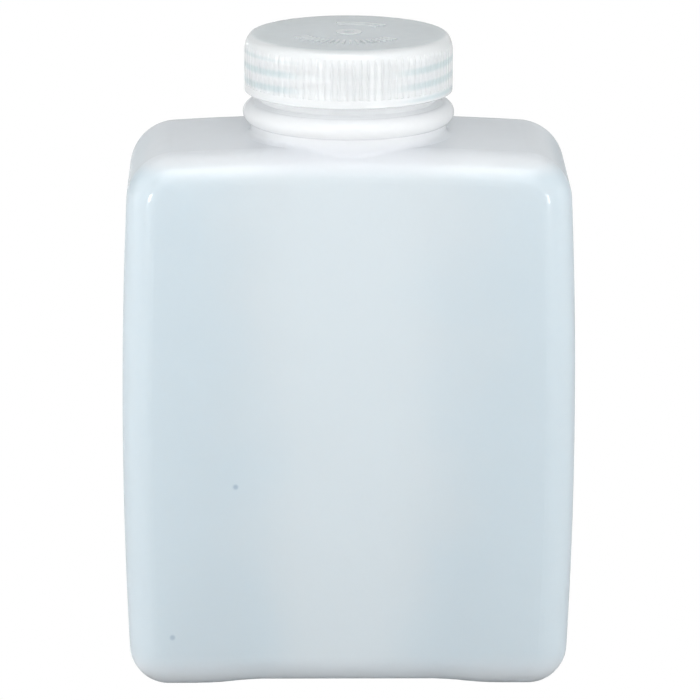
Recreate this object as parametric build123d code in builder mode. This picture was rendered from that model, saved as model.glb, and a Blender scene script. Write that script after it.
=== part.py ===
"""Rectangular wide-mouth reagent bottle with a ribbed screw cap.

The bottle is one blow-moulded piece: a flat-sided body with softly rounded edges, a low crowned
shoulder, and a round neck with a bead and an outside thread. The cap is one moulded piece with an
inside thread, and it presses a flat sealing ring onto the bottle's rim.

Millimetres. The origin is on the resting plane, under the middle of the body. +Z is up, the wide
faces look along -Y and +Y, and the neck's axis is the Z axis.
"""

import os

from build123d import *

# Body
body_width = 126.0
body_depth = 62.5
shoulder_end_height = 151.5
shoulder_crown = 2.3
side_bow = 2.1
face_bow = 0.6
shoulder_corner = 13.5
base_corner = 11.0
face_round = 8.5
wall = 1.5

# Base: two level pads at the ends, with the middle standing a little clear of the table
base_rise = 1.2
rise_half_width = 22.0
pad_inner_x = 43.0

# Marks of the mould: a faint ridge up each narrow side, and the weld under the base
parting_height = 0.1
parting_width = 0.45
parting_bottom_z = 3.0
parting_top_z = 140.0
parting_inner_x = 54.0
weld_length = 38.0
weld_width = 0.8
weld_height = 0.3

# Neck
neck_radius = 27.5
neck_root_z = 147.0
neck_base_fillet = 1.4
bead_bottom_z = 156.7
bead_top_z = 162.3
bead_radius = 29.5
bead_widest_z = 159.4
bead_inner_radius = 26.4
finish_radius = 24.8
finish_bottom_z = 163.0
rim_z = 179.0
rim_round = 0.5
bore_radius = 22.5
throat_radius = 25.8
throat_bottom_z = 145.0
throat_top_z = 157.0
bore_bottom_z = 163.6

# Thread, shared by the neck and the cap: right-hand, single start
thread_pitch = 4.233
thread_height = 1.4
thread_root_width = 2.1
thread_crest_width = 0.9
thread_sink = 0.3
neck_thread_z = 167.16
neck_thread_start = 135.0
neck_thread_turns = 2.4
cap_thread_z = 168.3
cap_thread_turns = 2.0
thread_clearance = 0.3

# Cap
cap_radius = 29.0
cap_bottom_z = 165.5
cap_top_z = 181.6
cap_edge_inward = 2.5
cap_edge_down = 4.9
cap_top_thickness = 1.6
cap_lip_round = 0.4
rib_count = 90
rib_valley_radius = 0.55
rib_valley_offset = 0.15
rib_bottom_z = 167.9
seal_rib_inner = 20.4
seal_rib_outer = 21.4
seal_rib_height = 1.3

# Raised marks on the cap's top. Directions are angles about the neck, from +X.
tick_angle = 264.0
turn_arc_angle = 74.0
mark_height = 0.4
gate_radius = 3.6
gate_dimple_radius = 1.5
tick_count = 17
tick_spread = 112.0
tick_radius = 14.8
tick_length = 4.6
tick_width = 0.7
turn_arc_radii = (11.5, 14.5)
turn_arc_spread = 56.0
turn_arc_width = 0.8

# Sealing ring
seal_inner = 21.7
seal_outer = 26.0
seal_edge = 0.2

seal_top_z = cap_top_z - cap_top_thickness
skirt_bore = finish_radius + thread_height + thread_clearance

os.makedirs("parts", exist_ok=True)


def body_form(inset):
    """The body without its neck, drawn in by `inset` on every side: 0 is the outside."""
    half_width = body_width / 2 - inset
    half_depth = body_depth / 2 - inset
    floor_z = inset
    end_z = shoulder_end_height - inset
    middle_z = (floor_z + end_z) / 2
    foot_x = half_width - side_bow
    foot_y = half_depth - face_bow
    over_z = end_z + 2 * shoulder_crown
    under_z = floor_z - 2 * shoulder_crown
    high_z = floor_z + base_rise
    ramp_x = (rise_half_width + pad_inner_x) / 2
    ramp_z = floor_z + base_rise / 2

    with BuildPart() as form:
        with BuildSketch(Plane.XZ.offset(-body_depth)) as outline:
            with BuildLine():
                Line((0, high_z), (rise_half_width, high_z))
                TangentArc((rise_half_width, high_z), (ramp_x, ramp_z), tangent=(1, 0))
                TangentArc((pad_inner_x, floor_z), (ramp_x, ramp_z), tangent=(-1, 0))
                Line((pad_inner_x, floor_z), (foot_x, floor_z))
                ThreePointArc((foot_x, floor_z), (half_width, middle_z), (foot_x, end_z))
                mirror(about=Plane.YZ)
                ThreePointArc((foot_x, end_z), (0, end_z + shoulder_crown), (-foot_x, end_z))
            make_face()
            fillet(outline.vertices().group_by(Axis.Y)[-1], shoulder_corner - inset)
            feet = outline.vertices().group_by(Axis.Y)[0].sort_by(Axis.X)
            fillet([feet[0], feet[-1]], base_corner - inset)
        extrude(amount=2 * body_depth)
        with BuildSketch(Plane.YZ.offset(-body_width)):
            with BuildLine():
                ThreePointArc((foot_y, under_z), (half_depth, middle_z), (foot_y, over_z))
                Line((foot_y, over_z), (-foot_y, over_z))
                ThreePointArc((-foot_y, over_z), (-half_depth, middle_z), (-foot_y, under_z))
                Line((-foot_y, under_z), (foot_y, under_z))
            make_face()
        extrude(amount=2 * body_width, mode=Mode.INTERSECT)
        face_edges = form.edges().filter_by(lambda edge: abs(edge.center().Y) > half_depth / 2)
        fillet(face_edges, face_round - inset)
    return form.part


def thread(root_radius, outward, start_z, turns):
    """A ridge on a helix. `outward` is 1 for an outside thread and -1 for an inside one."""
    sunk_radius = root_radius - outward * thread_sink
    crest_radius = root_radius + outward * thread_height
    with BuildPart() as ridge:
        with BuildLine():
            path = Helix(thread_pitch, turns * thread_pitch, root_radius, center=(0, 0, start_z))
        with BuildSketch(Plane.XZ):
            with BuildLine():
                Polyline(
                    (sunk_radius, start_z - thread_root_width / 2),
                    (crest_radius, start_z - thread_crest_width / 2),
                    (crest_radius, start_z + thread_crest_width / 2),
                    (sunk_radius, start_z + thread_root_width / 2),
                    close=True,
                )
            make_face()
        sweep(path=path, is_frenet=True)
    return ridge.part


# Mould marks, merged into the bottle below
parting_length = body_width / 2 - parting_inner_x + 1
parting_middle_x = parting_inner_x + parting_length / 2
parting_rise = parting_top_z - parting_bottom_z
with BuildPart() as parting_ridges:
    for side in (-1, 1):
        with Locations((side * parting_middle_x, 0, parting_bottom_z + parting_rise / 2)):
            Box(parting_length, parting_width, parting_rise)
    add(body_form(-parting_height), mode=Mode.INTERSECT)

# Bottle
with BuildPart() as bottle:
    add(body_form(0))
    with BuildSketch(Plane.XZ):
        with BuildLine():
            Polyline(
                (0, neck_root_z),
                (neck_radius, neck_root_z),
                (neck_radius, bead_bottom_z),
            )
            ThreePointArc(
                (neck_radius, bead_bottom_z),
                (bead_radius, bead_widest_z),
                (bead_inner_radius, bead_top_z),
            )
            Polyline(
                (bead_inner_radius, bead_top_z),
                (finish_radius, finish_bottom_z),
                (finish_radius, rim_z),
                (0, rim_z),
                (0, neck_root_z),
            )
        make_face()
    revolve(axis=Axis.Z)
    neck_crease = bottle.edges().filter_by(
        lambda edge: shoulder_end_height < edge.center().Z < bead_bottom_z - 1
    )
    fillet(neck_crease.filter_by(lambda edge: edge.length > neck_radius), neck_base_fillet)
    neck_thread = thread(finish_radius, 1, neck_thread_z, neck_thread_turns)
    add(neck_thread, rotation=(0, 0, neck_thread_start))
    add(parting_ridges.part)
    with Locations((0, 0, base_rise)):
        Box(weld_length, weld_width, 2 * weld_height)
    add(body_form(wall), mode=Mode.SUBTRACT)
    with BuildSketch(Plane.XZ):
        with BuildLine():
            Polyline(
                (0, throat_bottom_z),
                (throat_radius, throat_bottom_z),
                (throat_radius, throat_top_z),
                (bore_radius, bore_bottom_z),
                (bore_radius, rim_z),
                (0, rim_z),
                (0, throat_bottom_z),
            )
        make_face()
    revolve(axis=Axis.Z, mode=Mode.SUBTRACT)
    rim_edges = bottle.edges().filter_by(GeomType.CIRCLE).group_by(Axis.Z)[-1]
    fillet(rim_edges, rim_round)
bottle.part.label = "bottle"
export_step(bottle.part, "parts/bottle.step")

# Cap
rib_start_radius = cap_radius + rib_valley_offset
turn_arcs = [
    CenterArc((0, 0), radius, turn_arc_angle - turn_arc_spread / 2, turn_arc_spread)
    for radius in turn_arc_radii
]
with BuildPart() as cap:
    with BuildSketch(Plane.XZ):
        with BuildLine():
            Polyline(
                (0, cap_top_z),
                (0, seal_top_z),
                (skirt_bore, seal_top_z),
                (skirt_bore, cap_bottom_z),
                (cap_radius, cap_bottom_z),
                (cap_radius, cap_top_z - cap_edge_down),
            )
            EllipticalCenterArc(
                (cap_radius - cap_edge_inward, cap_top_z - cap_edge_down),
                cap_edge_inward,
                cap_edge_down,
                start_angle=0,
                arc_size=90,
            )
            Line((cap_radius - cap_edge_inward, cap_top_z), (0, cap_top_z))
        make_face()
    revolve(axis=Axis.Z)
    lip_edges = cap.edges().filter_by(GeomType.CIRCLE).group_by(Axis.Z)[0]
    fillet(lip_edges.sort_by(SortBy.RADIUS)[-1], cap_lip_round)
    with BuildSketch(Plane.XY.offset(rib_bottom_z)):
        with PolarLocations(rib_start_radius, rib_count):
            Circle(rib_valley_radius)
    extrude(amount=cap_top_z - rib_bottom_z, mode=Mode.SUBTRACT)
    with BuildSketch(Plane.XY.offset(seal_top_z)):
        Circle(seal_rib_outer)
        Circle(seal_rib_inner, mode=Mode.SUBTRACT)
    extrude(amount=-seal_rib_height)
    add(thread(skirt_bore, -1, cap_thread_z, cap_thread_turns))
    with BuildSketch(Plane.XY.offset(cap_top_z)):
        Circle(gate_radius)
        Circle(gate_dimple_radius, mode=Mode.SUBTRACT)
        with PolarLocations(
            tick_radius, tick_count, tick_angle - tick_spread / 2, tick_spread, endpoint=True
        ):
            SlotOverall(tick_length, tick_width)
        for turn_arc in turn_arcs:
            SlotArc(turn_arc, turn_arc_width)
    extrude(amount=mark_height)
cap.part.label = "cap"
export_step(cap.part, "parts/cap.step")

# Sealing ring, held between the cap's inner rib and its skirt, and flat on the bottle's rim
with BuildPart() as seal_ring:
    with BuildSketch(Plane.XY.offset(rim_z)):
        Circle(seal_outer)
        Circle(seal_inner, mode=Mode.SUBTRACT)
    extrude(amount=seal_top_z - rim_z)
    chamfer(seal_ring.edges().filter_by(GeomType.CIRCLE), seal_edge)
seal_ring.part.label = "seal_ring"
export_step(seal_ring.part, "parts/seal_ring.step")

for piece in (bottle, cap, seal_ring):
    solids = len(piece.part.solids())
    print(piece.part.label, solids, piece.part.is_valid, round(piece.part.volume / 1000, 1), "cm3")
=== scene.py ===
"""Look of the reagent bottle: a milky translucent bottle with a clearer ribbed screw cap.

Metres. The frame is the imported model's: the origin on the table under the body's middle, +Z up,
the wide faces looking along -Y and +Y. Azimuths are in degrees from -Y, turning towards +X.
"""

import math

import bpy
from mathutils import Matrix, Vector


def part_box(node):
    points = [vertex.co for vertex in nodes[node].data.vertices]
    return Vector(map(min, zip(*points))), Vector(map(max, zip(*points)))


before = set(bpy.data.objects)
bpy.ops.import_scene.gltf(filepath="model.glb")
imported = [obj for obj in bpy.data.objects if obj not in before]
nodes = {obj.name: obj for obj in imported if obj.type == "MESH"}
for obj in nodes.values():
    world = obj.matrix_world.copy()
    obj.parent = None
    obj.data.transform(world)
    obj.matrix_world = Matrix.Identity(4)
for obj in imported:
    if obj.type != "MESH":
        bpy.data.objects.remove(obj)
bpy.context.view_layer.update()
scene = bpy.context.scene
cap_low_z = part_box("cap")[0].z
cap_high_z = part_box("cap")[1].z

# Camera: a long lens, a little above the bottle and a little left of straight on
camera_distance = 1.539
camera_pitch = math.radians(13.89)
camera_yaw = math.radians(-0.8)
camera_roll = math.radians(0.14)
camera_lens = 280.6
sensor_width = 36.0
look_height = 0.09
aim_right = 0.0006
aim_up = 0.0007

# Lamps: name, azimuth, elevation, distance, (width, height), watts, and whether gloss mirrors it
lamps = (
    ("top_front", 0, 50, 1.2, (1.0, 0.6), 6.2, True),
    ("mid_front", 0, 14, 1.4, (0.7, 0.5), 3.9, False),
    ("side_left", -80, 5, 1.3, (0.5, 0.3), 7.6, False),
    ("side_right", 80, 5, 1.3, (0.5, 0.3), 7.6, False),
    ("low_front", 0, 28, 1.2, (0.9, 0.4), 2.0, True),
    ("behind", 180, 25, 1.5, (1.0, 0.6), 0.2, True),
    ("spot_left", -31, 2, 1.0, (0.12, 0.15), 1.1, True),
    ("spot_right", 28, -1.5, 1.0, (0.12, 0.15), 1.1, True),
)

# Surround: an even pale level, a ring of soft glows and two darker areas behind the sides, each
# as azimuth, elevation, half-width in degrees and strength
surround_level = 0.55
surround_tint = (0.97, 0.99, 1.0)
surround_areas = (
    (0, 0, 60, 0.24),
    (60, 0, 60, 0.24),
    (-60, 0, 60, 0.276),
    (120, 0, 60, 0.216),
    (-120, 0, 60, 0.24),
    (180, 0, 60, 0.168),
    (120, 28, 45, -0.55),
    (-120, 28, 45, -0.55),
)

# Floor: a grey, a faint glow behind the bottle, and a wedge of light in front of each side
floor_half_side = 6.0
floor_drop = 0.0002
floor_grey = 0.37
back_glow = 0.1
back_glow_depth = 0.5
left_glow = 0.55
right_glow = 0.35
glow_change_x = 0.05
wedge_tip_x = 0.056
wedge_tip_y = 0.01
wedge_slopes = (0.12, 0.30)

# All plastics
coat_roughness = 0.08
noise_span = (0.3, 0.7)

# Bottle's plastic. A pair is where one look starts to give way to the next, and where it has.
bottle_transmission = 0.45
bottle_scatter = 0.002
bottle_through = 0.35
bottle_coat = 1.0
# Wall tone, partly real thickness and partly painted light down the middle and painted shade towards
# the sides
thick_lit_middle_colour = (0.805, 0.845, 0.865)
thin_shaded_side_colour = (0.77, 0.832, 0.867)
thick_lit_top_z = 0.15
thick_lit_half_widths = (0.024, 0.050)
thin_shaded_from = (0.35, 1.15)
cloud_size = 0.035
cloud_drift = 0.25
# Painted light: the foot is paler, lifting the shade near the floor
lit_foot_colour = (0.92, 0.93, 0.945)
lit_foot_z = (0.001, 0.011)
# Painted shade on the middle of the shoulder's top, and painted light at its ends
shaded_shoulder_colour = (0.865, 0.87, 0.89)
lit_shoulder_end_colour = (0.96, 0.965, 0.98)
shoulder_z = (0.1460, 0.1515)
lit_shoulder_end_x = (0.012, 0.040)
# Painted light: the neck is whiter, lifting the shade under the cap
lit_neck_colour = (0.945, 0.945, 0.95)
neck_z = (0.1525, 0.158)
neck_scatter = 0.0006
satin_size = 0.006
satin_roughness = (0.32, 0.40)
middle_x = (0.010, 0.034)
middle_dulling = 0.30
middle_coat = 0.7
ripple_size = 0.022
ripple_depth = 0.00025
grain_size = 0.0009
grain_depth = 0.000012

# Two dark flecks in the front wall: place and strength
fleck_colour = (0.30, 0.40, 0.50)
fleck_radii = (0.0003, 0.0011)
flecks = (
    ((-0.03155, -0.031, 0.0592), 0.6),
    ((-0.0493, -0.031, 0.0155), 0.5),
)

# Cap's plastic, with painted shade of the thread behind its skirt and painted shade on its top disc
cap_transmission = 0.58
cap_scatter = 0.0012
cap_through = 0.2
cap_coat = 0.3
cap_colours = ((0.985, 0.992, 0.995), (0.965, 0.98, 0.985))
cap_cloud_size = 0.012
cap_satin_size = 0.003
cap_roughness = (0.15, 0.22)
cap_ripple_size = 0.009
cap_ripple_depth = 0.00006
thread_pitch = 0.004233
thread_shade_colour = (0.66, 0.76, 0.79)
thread_shade_share = 0.7
band_edge = (0.08, 0.34)
band_start_z = cap_low_z + 0.0015
band_bottom_z = (cap_low_z + 0.0003, cap_low_z + 0.0013)
band_top_z = (cap_high_z - 0.0050, cap_high_z - 0.0035)
band_side_x = (0.010, 0.022)
thread_shade_middle_share = 0.15
# Painted shade: the cap's top disc is darker, below the raised marks
shaded_disc_colour = (0.70, 0.78, 0.80)
disc_shade_share = 0.45
disc_z = (cap_high_z - 0.0007, cap_high_z - 0.0004)
mark_z = (cap_high_z - 0.0003, cap_high_z - 0.0001)

# Sealing ring's foam
seal_scatter = 0.002
seal_colours = ((0.93, 0.95, 0.95), (0.88, 0.91, 0.92))
seal_roughness = (0.5, 0.65)
foam_size = 0.002
foam_depth = 0.00004


def from_angles(azimuth, elevation, distance, centre):
    """A point seen from `centre` at that azimuth and elevation, in radians."""
    level = math.cos(elevation)
    away = Vector((math.sin(azimuth) * level, -math.cos(azimuth) * level, math.sin(elevation)))
    return centre + away * distance


def add_node(tree, kind, values=(), **settings):
    """A node with its settings, and with input values given as (socket, value) pairs."""
    node = tree.nodes.new(kind)
    for key, value in settings.items():
        setattr(node, key, value)
    for socket, value in values:
        node.inputs[socket].default_value = value
    return node


def math_node(tree, operation, first, second=0):
    node = add_node(tree, "ShaderNodeMath", operation=operation)
    for socket, value in zip(node.inputs, (first, second)):
        if isinstance(value, (int, float)):
            socket.default_value = value
        else:
            tree.links.new(value, socket)
    return node.outputs[0]


def remap(tree, value, start, end, first, last, smooth=False):
    """A change from `first` to `last` while the value goes from `start` to `end`."""
    node = add_node(tree, "ShaderNodeMapRange")
    node.interpolation_type = "SMOOTHSTEP" if smooth else "LINEAR"
    for socket, number in zip(node.inputs[1:5], (start, end, first, last)):
        socket.default_value = number
    tree.links.new(value, node.inputs[0])
    return node.outputs["Result"]


def fade(tree, value, start, end, first=0.0, last=1.0):
    """The same change as `remap`, eased at both ends."""
    return remap(tree, value, start, end, first, last, smooth=True)


def noise(tree, place, size, detail=2.0):
    """Smooth noise whose blotches are about `size` metres across."""
    node = add_node(tree, "ShaderNodeTexNoise", [("Scale", 1 / size), ("Detail", detail)])
    tree.links.new(place, node.inputs["Vector"])
    return node.outputs["Fac"]


def stretch(tree, cloud, first, last):
    """Noise whose usual span is brought to `first` to `last`."""
    return remap(tree, cloud, *noise_span, first, last)


def blend_colours(tree, share, first, second):
    node = add_node(tree, "ShaderNodeMix", data_type="RGBA")
    tree.links.new(share, node.inputs["Factor"])
    for socket, value in ((node.inputs[6], first), (node.inputs[7], second)):
        if isinstance(value, tuple):
            socket.default_value = (*value, 1)
        else:
            tree.links.new(value, socket)
    return node.outputs[2]


def split_axes(tree, place):
    """The X, Y and Z of a place."""
    node = add_node(tree, "ShaderNodeSeparateXYZ")
    tree.links.new(place, node.inputs[0])
    return node.outputs


def bumps(tree, shader, parts):
    """Fine relief on the surface: (height, depth in metres) pairs, one on top of the other."""
    previous = None
    for height, depth in parts:
        bump = add_node(tree, "ShaderNodeBump", [("Distance", depth), ("Strength", 1.0)])
        tree.links.new(height, bump.inputs["Height"])
        if previous:
            tree.links.new(previous, bump.inputs["Normal"])
        previous = bump.outputs["Normal"]
    tree.links.new(previous, shader.inputs["Normal"])


def split_for_camera(tree, lighting, seen, out):
    """The camera sees one shader, and the bottle is lit by the other."""
    path = add_node(tree, "ShaderNodeLightPath")
    mix = add_node(tree, "ShaderNodeMixShader")
    tree.links.new(path.outputs["Is Camera Ray"], mix.inputs["Fac"])
    tree.links.new(lighting.outputs[0], mix.inputs[1])
    tree.links.new(seen.outputs[0], mix.inputs[2])
    tree.links.new(mix.outputs[0], out.inputs["Surface"])


def make_camera():
    look = Vector((0, 0, look_height))
    data = bpy.data.cameras.new("camera")
    data.lens = camera_lens
    data.sensor_width = sensor_width
    data.clip_start = 0.05
    data.clip_end = 20.0
    camera = bpy.data.objects.new("camera", data)
    scene.collection.objects.link(camera)
    place = from_angles(camera_yaw, camera_pitch, camera_distance, look)
    aim = look + Vector((aim_right, 0, aim_up))
    turn = (aim - place).to_track_quat("-Z", "Y").to_matrix()
    roll = Matrix.Rotation(camera_roll, 3, "Z")
    camera.matrix_world = Matrix.Translation(place) @ (turn @ roll).to_4x4()
    scene.camera = camera


def add_lamp(name, azimuth, elevation, distance, size, watts, mirrored):
    """A soft rectangular lamp that faces the middle of the bottle."""
    centre = Vector((0, 0, look_height))
    data = bpy.data.lights.new(name, "AREA")
    data.shape = "RECTANGLE"
    data.size, data.size_y = size
    data.energy = watts
    lamp = bpy.data.objects.new(name, data)
    scene.collection.objects.link(lamp)
    lamp.location = from_angles(math.radians(azimuth), math.radians(elevation), distance, centre)
    lamp.visible_glossy = mirrored
    lamp.rotation_mode = "QUATERNION"
    lamp.rotation_quaternion = (centre - lamp.location).to_track_quat("-Z", "Y")


def make_world():
    """The surround that lights the bottle. Past the floor's far edge the camera sees white."""
    world = bpy.data.worlds.new("studio")
    scene.world = world
    world.use_nodes = True
    tree = world.node_tree
    tree.nodes.clear()
    direction = add_node(tree, "ShaderNodeTexCoord").outputs["Generated"]
    total = None
    for azimuth, elevation, half_width, strength in surround_areas:
        aim = from_angles(math.radians(azimuth), math.radians(elevation), 1, Vector())
        dot = add_node(tree, "ShaderNodeVectorMath", [(1, aim)], operation="DOT_PRODUCT")
        tree.links.new(direction, dot.inputs[0])
        edge = math.cos(math.radians(half_width))
        glow = fade(tree, dot.outputs["Value"], edge, 1.0, 0.0, strength)
        total = math_node(tree, "ADD", total, glow) if total else glow
    soft = add_node(tree, "ShaderNodeBackground", [("Color", (*surround_tint, 1))])
    tree.links.new(math_node(tree, "ADD", total, surround_level), soft.inputs["Strength"])
    white = add_node(tree, "ShaderNodeBackground", [("Color", (1, 1, 1, 1))])
    split_for_camera(tree, soft, white, add_node(tree, "ShaderNodeOutputWorld"))


def floor_material():
    """White to the camera. To the bottle a soft grey, with the glows that pale its upright edges."""
    material = bpy.data.materials.new("floor_white")
    material.use_nodes = True
    tree = material.node_tree
    tree.nodes.clear()
    x, y, _ = split_axes(tree, add_node(tree, "ShaderNodeTexCoord").outputs["Object"])
    behind = fade(tree, y, 0.0, back_glow_depth, 0.0, back_glow)
    outward = math_node(tree, "SUBTRACT", math_node(tree, "ABSOLUTE", x), wedge_tip_x)
    forward = math_node(tree, "MAXIMUM", math_node(tree, "MULTIPLY", y, -1), wedge_tip_y)
    wedge = fade(tree, math_node(tree, "DIVIDE", outward, forward), *wedge_slopes)
    strength = remap(tree, x, -glow_change_x, glow_change_x, left_glow, right_glow)
    glow = math_node(tree, "ADD", behind, math_node(tree, "MULTIPLY", wedge, strength))
    grey = (floor_grey, floor_grey, floor_grey, 1)
    matte = add_node(tree, "ShaderNodeBsdfDiffuse", [("Color", grey)])
    fill = add_node(tree, "ShaderNodeEmission")
    lit = add_node(tree, "ShaderNodeAddShader")
    tree.links.new(glow, fill.inputs["Strength"])
    tree.links.new(matte.outputs[0], lit.inputs[0])
    tree.links.new(fill.outputs[0], lit.inputs[1])
    white = add_node(tree, "ShaderNodeEmission", [("Strength", 1.0)])
    split_for_camera(tree, lit, white, add_node(tree, "ShaderNodeOutputMaterial"))
    return material


def make_floor():
    far = floor_half_side
    mesh = bpy.data.meshes.new("floor")
    corners = [(-far, -far, 0), (far, -far, 0), (far, far, 0), (-far, far, 0)]
    mesh.from_pydata(corners, [], [(0, 1, 2, 3)])
    mesh.materials.append(floor_material())
    floor = bpy.data.objects.new("floor", mesh)
    scene.collection.objects.link(floor)
    floor.location.z = -floor_drop


def plastic(name, transmission, scatter, coat=0.0):
    """A moulded plastic with light scattered inside it. Also gives its tree, shader and place."""
    material = bpy.data.materials.new(name)
    material.use_nodes = True
    tree = material.node_tree
    shader = tree.nodes["Principled BSDF"]
    for socket, value in (
        ("IOR", 1.5),
        ("Transmission Weight", transmission),
        ("Subsurface Weight", 1.0),
        ("Subsurface Scale", scatter),
        ("Subsurface Radius", (1.0, 1.0, 1.0)),
        ("Coat Weight", coat),
        ("Coat Roughness", coat_roughness),
    ):
        shader.inputs[socket].default_value = value
    place = add_node(tree, "ShaderNodeTexCoord").outputs["Object"]
    return material, tree, shader, place


def let_light_through(tree, shader, share):
    """Part of the light that meets the surface comes out of its other side, softened."""
    soft = add_node(tree, "ShaderNodeBsdfTranslucent")
    for socket, source in (("Color", "Base Color"), ("Normal", "Normal")):
        tree.links.new(shader.inputs[source].links[0].from_socket, soft.inputs[socket])
    mix = add_node(tree, "ShaderNodeMixShader", [("Fac", share)])
    tree.links.new(shader.outputs[0], mix.inputs[1])
    tree.links.new(soft.outputs[0], mix.inputs[2])
    tree.links.new(mix.outputs[0], tree.nodes["Material Output"].inputs["Surface"])


def bottle_material():
    """Milky polyethylene: whiter where the blown wall is thick, bluer in the thin corners, with
    painted light down the middle and painted shade towards the sides.
    """
    material, tree, shader, place = plastic(
        "bottle_milky", bottle_transmission, bottle_scatter, bottle_coat
    )
    x, _, z = split_axes(tree, place)
    across = math_node(tree, "ABSOLUTE", x)

    # Part wall tone, part painted light in the middle and painted shade, bluer and darker, towards
    # the sides
    half_width = remap(tree, z, 0.0, thick_lit_top_z, *thick_lit_half_widths)
    outward = math_node(tree, "DIVIDE", across, half_width)
    drift = stretch(tree, noise(tree, place, cloud_size), -cloud_drift, cloud_drift)
    thin_and_shaded = fade(tree, math_node(tree, "ADD", outward, drift), *thin_shaded_from)
    colour = blend_colours(tree, thin_and_shaded, thick_lit_middle_colour, thin_shaded_side_colour)

    # Painted shade on the shoulder's middle, painted light at its ends
    lit_ends = fade(tree, across, *lit_shoulder_end_x)
    shoulder_shading = blend_colours(tree, lit_ends, shaded_shoulder_colour, lit_shoulder_end_colour)
    colour = blend_colours(tree, fade(tree, z, *shoulder_z), colour, shoulder_shading)
    # Painted light on the foot, lifting the shade near the floor
    colour = blend_colours(tree, fade(tree, z, *lit_foot_z, 1.0, 0.0), colour, lit_foot_colour)
    for fleck, strength in flecks:
        apart = add_node(tree, "ShaderNodeVectorMath", [(1, fleck)], operation="DISTANCE")
        tree.links.new(place, apart.inputs[0])
        near = fade(tree, apart.outputs["Value"], *fleck_radii, strength, 0.0)
        colour = blend_colours(tree, near, colour, fleck_colour)
    # Painted light: a whiter neck; the same mask also lowers the scatter there
    neck = fade(tree, z, *neck_z)
    colour = blend_colours(tree, neck, colour, lit_neck_colour)
    tree.links.new(colour, shader.inputs["Base Color"])
    scatter = remap(tree, neck, 0.0, 1.0, bottle_scatter, neck_scatter)
    tree.links.new(scatter, shader.inputs["Subsurface Scale"])

    satin = stretch(tree, noise(tree, place, satin_size, 4.0), *satin_roughness)
    dulling = fade(tree, across, *middle_x, middle_dulling, 0.0)
    tree.links.new(math_node(tree, "ADD", satin, dulling), shader.inputs["Roughness"])
    coat = fade(tree, across, *middle_x, middle_coat, bottle_coat)
    tree.links.new(coat, shader.inputs["Coat Weight"])
    ripple = noise(tree, place, ripple_size, 1.0)
    grain = noise(tree, place, grain_size)
    bumps(tree, shader, [(ripple, ripple_depth), (grain, grain_depth)])
    let_light_through(tree, shader, bottle_through)
    return material


def painted_thread_shade(tree, x, y, z):
    """Painted shade of the thread behind the skirt: along its helix, and faint in the middle."""
    angle = math_node(tree, "ARCTAN2", y, x)
    climb = math_node(tree, "DIVIDE", math_node(tree, "SUBTRACT", z, band_start_z), thread_pitch)
    turn = math_node(tree, "SUBTRACT", climb, math_node(tree, "DIVIDE", angle, 2 * math.pi))
    band = fade(tree, math_node(tree, "PINGPONG", turn, 0.5), *band_edge, thread_shade_share, 0.0)
    limits = (
        fade(tree, z, *band_bottom_z),
        fade(tree, z, *band_top_z, 1.0, 0.0),
        fade(tree, math_node(tree, "ABSOLUTE", x), *band_side_x, thread_shade_middle_share, 1.0),
    )
    for limit in limits:
        band = math_node(tree, "MULTIPLY", band, limit)
    return band


def cap_material():
    """Natural polypropylene: clearer and glossier than the bottle."""
    material, tree, shader, place = plastic("cap_natural", cap_transmission, cap_scatter, cap_coat)
    x, y, z = split_axes(tree, place)
    cloud = stretch(tree, noise(tree, place, cap_cloud_size), 0.0, 1.0)
    colour = blend_colours(tree, cloud, *cap_colours)
    # Painted shade of the thread behind the skirt
    colour = blend_colours(tree, painted_thread_shade(tree, x, y, z), colour, thread_shade_colour)
    # Painted shade on the top disc
    disc_shade = fade(tree, z, *disc_z, 0.0, disc_shade_share)
    below_marks = fade(tree, z, *mark_z, 1.0, 0.0)
    disc_shade = math_node(tree, "MULTIPLY", disc_shade, below_marks)
    colour = blend_colours(tree, disc_shade, colour, shaded_disc_colour)
    tree.links.new(colour, shader.inputs["Base Color"])
    satin = stretch(tree, noise(tree, place, cap_satin_size, 3.0), *cap_roughness)
    tree.links.new(satin, shader.inputs["Roughness"])
    ripple = noise(tree, place, cap_ripple_size, 1.0)
    bumps(tree, shader, [(ripple, cap_ripple_depth)])
    let_light_through(tree, shader, cap_through)
    return material


def seal_material():
    """Soft white polyethylene foam of the sealing ring."""
    material, tree, shader, place = plastic("seal_white", 0.0, seal_scatter)
    foam = noise(tree, place, foam_size, 3.0)
    tree.links.new(blend_colours(tree, foam, *seal_colours), shader.inputs["Base Color"])
    tree.links.new(stretch(tree, foam, *seal_roughness), shader.inputs["Roughness"])
    bumps(tree, shader, [(foam, foam_depth)])
    return material


def paint(node, material):
    mesh = nodes[node].data
    mesh.materials.clear()
    mesh.materials.append(material)


make_camera()
make_world()
make_floor()
for lamp in lamps:
    add_lamp(*lamp)
paint("bottle", bottle_material())
paint("cap", cap_material())
paint("seal_ring", seal_material())

# Light crosses the hollow bottle's walls many times
scene.cycles.max_bounces = 48
scene.cycles.diffuse_bounces = 32
scene.cycles.transmission_bounces = 24
scene.view_settings.view_transform = "Standard"
